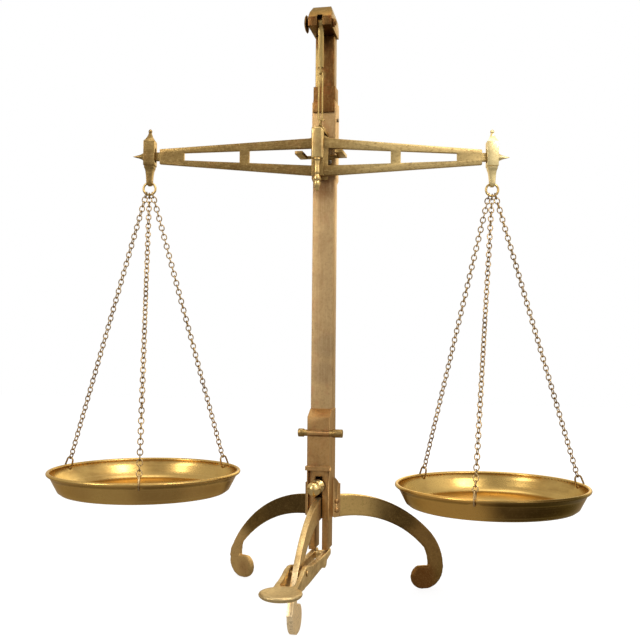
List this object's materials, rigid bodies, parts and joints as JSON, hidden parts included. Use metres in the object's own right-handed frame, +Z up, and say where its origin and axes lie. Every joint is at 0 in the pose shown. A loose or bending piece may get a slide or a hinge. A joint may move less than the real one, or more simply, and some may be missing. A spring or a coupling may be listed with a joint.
{
  "type": "beam balance scale",
  "caption": "Brass trade beam scale: two round pans on chains hang from a level box-end beam; a thumb lever in the foot lifts the beam off its rest.",
  "frame": {"origin": "centre of the bounding box on the surface that the three feet stand on", "axes": "+Z up along the column, -Y towards the thumb plate, +X towards the right pan as seen from the thumb plate"},
  "size_m": [0.6423, 0.347, 0.727],
  "materials": {
    "base_socket": "aged and worn, satin",
    "front_leg": "aged and worn, satin",
    "left_leg": "aged and worn, satin",
    "right_leg": "aged and worn, satin",
    "leg_rivets": "aged and worn, satin",
    "outer_column": "aged and worn, satin",
    "column_guide": "aged and worn, satin",
    "guide_screws": "aged and worn, satin",
    "cross_bolt": "aged and worn, satin",
    "cross_bolt_nut": "aged and worn, satin",
    "beam_rest": "aged and worn, satin",
    "rest_screws": "aged and worn, satin",
    "fulcrum_pin": "aged and worn, satin",
    "clamp_screw": "aged and worn, satin",
    "thumb_lever": "aged and worn, satin",
    "slide_bar": "aged and worn, satin",
    "lift_fork": "aged and worn, satin",
    "fork_screws": "aged and worn, satin",
    "head": "aged and worn, satin",
    "head_pin": "aged and worn, satin",
    "head_pin_nut": "aged and worn, satin",
    "strap": "aged and worn, satin",
    "hook_link": "aged and worn, satin",
    "shackle": "aged and worn, satin",
    "shackle_cover": "aged and worn, satin",
    "index_drop": "aged and worn, satin",
    "beam": "aged and worn, satin",
    "centre_knife": "aged and worn, satin",
    "end_knives": "aged and worn, satin",
    "left_end_box": "aged and worn, satin",
    "right_end_box": "aged and worn, satin",
    "left_ring": "aged and worn, satin",
    "right_ring": "aged and worn, satin",
    "left_front_chain": "aged and worn, satin",
    "left_back_chain": "aged and worn, satin",
    "left_side_chain": "aged and worn, satin",
    "right_front_chain": "aged and worn, satin",
    "right_back_chain": "aged and worn, satin",
    "right_side_chain": "aged and worn, satin",
    "left_hook_links": "aged and worn, satin",
    "right_hook_links": "aged and worn, satin",
    "left_pan": "aged and worn, satin",
    "right_pan": "aged and worn, satin"
  },
  "bodies": {
    "stand": {"base_socket": "base_socket", "front_leg": "front_leg", "left_leg": "left_leg", "right_leg": "right_leg", "leg_rivets": "leg_rivets", "outer_column": "outer_column", "column_guide": "column_guide", "guide_screws": "guide_screws", "cross_bolt": "cross_bolt", "cross_bolt_nut": "cross_bolt_nut", "beam_rest": "beam_rest", "rest_screws": "rest_screws", "fulcrum_pin": "fulcrum_pin"},
    "lever": {"thumb_lever": "thumb_lever"},
    "clamp": {"clamp_screw": "clamp_screw"},
    "slide": {"slide_bar": "slide_bar", "lift_fork": "lift_fork", "fork_screws": "fork_screws", "head": "head", "head_pin": "head_pin", "head_pin_nut": "head_pin_nut"},
    "strap": {"strap": "strap"},
    "link": {"hook_link": "hook_link"},
    "shackle": {"shackle": "shackle", "shackle_cover": "shackle_cover", "index_drop": "index_drop"},
    "beam": {"beam": "beam", "centre_knife": "centre_knife", "end_knives": "end_knives"},
    "left_box": {"left_end_box": "left_end_box"},
    "right_box": {"right_end_box": "right_end_box"},
    "left_ring": {"left_ring": "left_ring"},
    "right_ring": {"right_ring": "right_ring"},
    "left_pan": {"left_pan": "left_pan", "left_front_chain": "left_front_chain", "left_back_chain": "left_back_chain", "left_side_chain": "left_side_chain", "left_hook_links": "left_hook_links"},
    "right_pan": {"right_pan": "right_pan", "right_front_chain": "right_front_chain", "right_back_chain": "right_back_chain", "right_side_chain": "right_side_chain", "right_hook_links": "right_hook_links"}
  },
  "joints": [
    {"name": "lever_press", "type": "hinge", "parent": "stand", "child": "lever", "pos_m": [0, -0.08091, 0.0625], "axis": [1, 0, 0], "range_deg": [0, 4.5]},
    {"name": "bar_lift", "type": "slide", "parent": "stand", "child": "slide", "axis": [0, 0, 1], "range_m": [0, 0.0085]},
    {"name": "clamp_turn", "type": "hinge", "parent": "stand", "child": "clamp", "pos_m": [0, 0.05309, 0.139], "axis": [0, 1, 0], "range_deg": [0, 180]},
    {"name": "strap_swing", "type": "hinge", "parent": "slide", "child": "strap", "pos_m": [0, 0.02309, 0.703], "axis": [1, 0, 0], "range_deg": [-6, 0.3]},
    {"name": "link_swing", "type": "hinge", "parent": "strap", "child": "link", "pos_m": [0, 0.02309, 0.641], "axis": [0, 1, 0], "range_deg": [-1.5, 1.5]},
    {"name": "shackle_turn", "type": "hinge", "parent": "link", "child": "shackle", "pos_m": [0, 0.02309, 0.577], "axis": [0, 0, 1], "range_deg": [-4, 4]},
    {"name": "beam_tilt", "type": "hinge", "parent": "shackle", "child": "beam", "pos_m": [0, 0.02309, 0.541], "axis": [-0.1702, 0.9854, 0], "range_deg": [-3, 3]},
    {"name": "left_box_swing", "type": "hinge", "parent": "beam", "child": "left_box", "pos_m": [-0.20536, -0.01238, 0.541], "axis": [-0.1702, 0.9854, 0], "range_deg": [-3, 3]},
    {"name": "left_ring_swing", "type": "hinge", "parent": "left_box", "child": "left_ring", "pos_m": [-0.20536, -0.01238, 0.50575], "axis": [0.9854, 0.1702, 0], "range_deg": [-4, 4]},
    {"name": "left_pan_swing", "type": "hinge", "parent": "left_ring", "child": "left_pan", "pos_m": [-0.20536, -0.01238, 0.49845], "axis": [-0.1702, 0.9854, 0], "range_deg": [-4, 4]},
    {"name": "right_box_swing", "type": "hinge", "parent": "beam", "child": "right_box", "pos_m": [0.20536, 0.05856, 0.541], "axis": [-0.1702, 0.9854, 0], "range_deg": [-3, 3]},
    {"name": "right_ring_swing", "type": "hinge", "parent": "right_box", "child": "right_ring", "pos_m": [0.20536, 0.05856, 0.50575], "axis": [0.9854, 0.1702, 0], "range_deg": [-4, 4]},
    {"name": "right_pan_swing", "type": "hinge", "parent": "right_ring", "child": "right_pan", "pos_m": [0.20536, 0.05856, 0.49845], "axis": [-0.1702, 0.9854, 0], "range_deg": [-4, 4]}
  ],
  "couplings": [
    {"joint": "lever_press", "follows": "bar_lift", "rad_per_m": 9.2},
    {"joint": "left_box_swing", "follows": "beam_tilt", "ratio": -1},
    {"joint": "right_box_swing", "follows": "beam_tilt", "ratio": -1}
  ]
}
